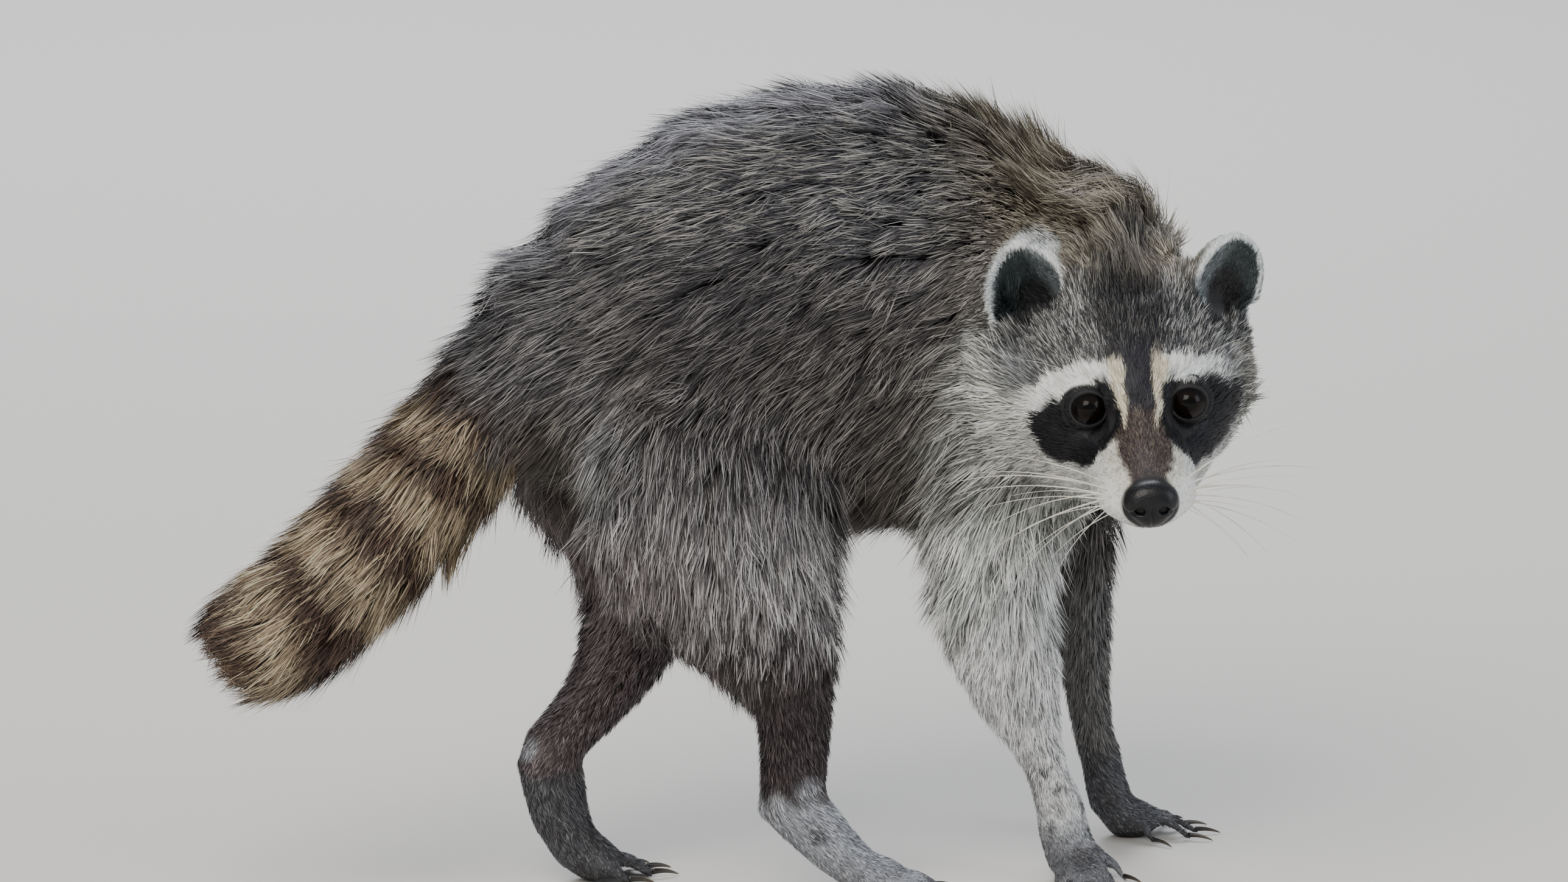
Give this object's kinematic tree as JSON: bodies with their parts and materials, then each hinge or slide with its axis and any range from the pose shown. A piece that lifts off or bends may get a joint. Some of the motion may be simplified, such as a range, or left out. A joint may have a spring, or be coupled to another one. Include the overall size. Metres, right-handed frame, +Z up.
{
  "type": "raccoon model",
  "caption": "Life-size still model of a walking raccoon, head turned back over its right shoulder, with arched back, ringed tail and slim hands.",
  "frame": {"origin": "on the floor, under the middle of the outline's length and width", "axes": "+X the way the hips head, +Y the animal's left, +Z up"},
  "size_m": [0.4308, 0.2398, 0.3161],
  "materials": {
    "coat": "dense grey-brown fur, guard hairs tipped with grey",
    "brown_coat": "short dark brown fur on the legs",
    "pale_coat": "short pale grey fur",
    "ringed_coat": "dark brown and cream rings",
    "face_coat": "short fur with a dark mask and white brows",
    "horn": "dark horn, satin",
    "nose_skin": "moist black skin",
    "eye": "wet, glossy"
  },
  "bodies": {
    "root": {"trunk": "coat", "neck": "coat", "head": "face_coat", "nose": "nose_skin", "eye_left": "eye", "ear_left": "pale_coat", "eye_right": "eye", "ear_right": "pale_coat", "front_foot_right": "pale_coat", "claw_front_right_1": "horn", "claw_front_right_2": "horn", "claw_front_right_3": "horn", "claw_front_right_4": "horn", "claw_front_right_5": "horn", "front_foot_left": "pale_coat", "claw_front_left_1": "horn", "claw_front_left_2": "horn", "claw_front_left_3": "horn", "claw_front_left_4": "horn", "claw_front_left_5": "horn", "hind_foot_right": "pale_coat", "claw_hind_right_1": "horn", "claw_hind_right_2": "horn", "claw_hind_right_3": "horn", "claw_hind_right_4": "horn", "claw_hind_right_5": "horn", "hind_foot_left": "pale_coat", "claw_hind_left_1": "horn", "claw_hind_left_2": "horn", "claw_hind_left_3": "horn", "claw_hind_left_4": "horn", "claw_hind_left_5": "horn", "front_leg_right_upper_arm": "coat", "front_leg_right_forearm": "brown_coat", "front_leg_left_upper_arm": "coat", "front_leg_left_forearm": "brown_coat", "hind_leg_right_thigh": "coat", "hind_leg_right_shank": "brown_coat", "hind_leg_left_thigh": "coat", "hind_leg_left_shank": "brown_coat", "tail_root": "ringed_coat", "tail_middle": "ringed_coat", "tail_end": "ringed_coat"}
  },
  "joints": []
}
